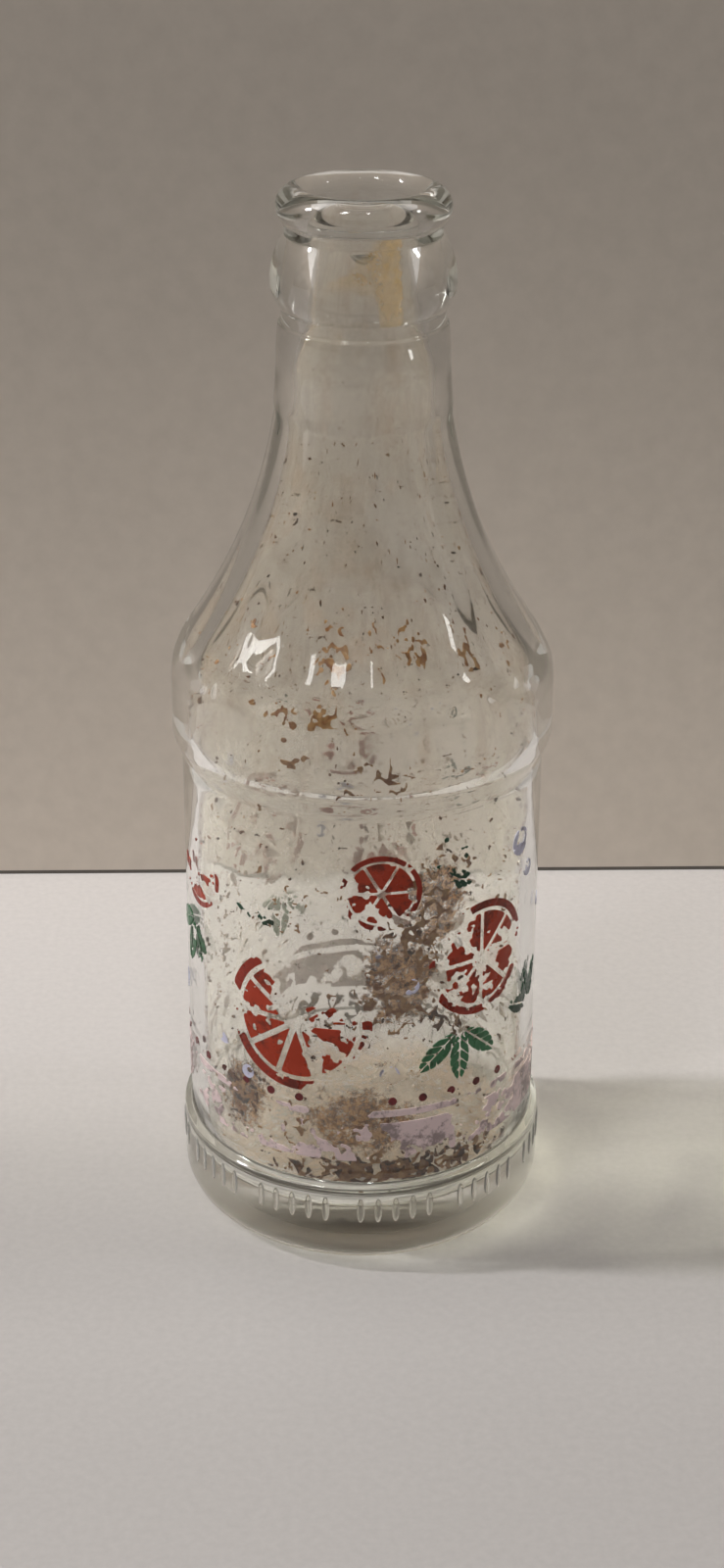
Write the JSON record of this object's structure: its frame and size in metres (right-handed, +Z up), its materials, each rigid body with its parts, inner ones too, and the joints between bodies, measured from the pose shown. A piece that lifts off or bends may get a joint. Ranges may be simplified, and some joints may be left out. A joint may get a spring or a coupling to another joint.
{
  "type": "glass drinks bottle",
  "caption": "Clear glass soft-drink bottle with a crown finish, collared neck, flat-fluted shoulder, recessed label panel with fired-on print, and a heavy heel on a pushed-up base.",
  "frame": {"origin": "centre of the base, on the plane that the bottle stands on", "axes": "+Z up the bottle's axis to the mouth, -Y towards the front of the label, +X to its right"},
  "size_m": [0.0614, 0.0614, 0.1733],
  "materials": {
    "clear_glass": "clear moulded glass, faintly green-grey where thick, with dried tan residue inside",
    "lilac_enamel": "thin fired-on enamel, worn and flaked",
    "pale_lilac_enamel": "thin fired-on enamel, worn and flaked",
    "orange_red_enamel": "thin fired-on enamel, worn and flaked",
    "deep_red_enamel": "thin fired-on enamel, worn and flaked",
    "maroon_enamel": "thin fired-on enamel, worn and flaked",
    "green_enamel": "thin fired-on enamel, worn and flaked",
    "dark_green_enamel": "thin fired-on enamel, worn and flaked"
  },
  "bodies": {
    "root": {"bottle_glass": "clear_glass", "lilac_band": "lilac_enamel", "lilac_bubbles": "pale_lilac_enamel", "red_slices": "orange_red_enamel", "red_rinds": "deep_red_enamel", "maroon_pips": "maroon_enamel", "green_leaves": "green_enamel", "dark_leaves": "dark_green_enamel"}
  },
  "joints": []
}
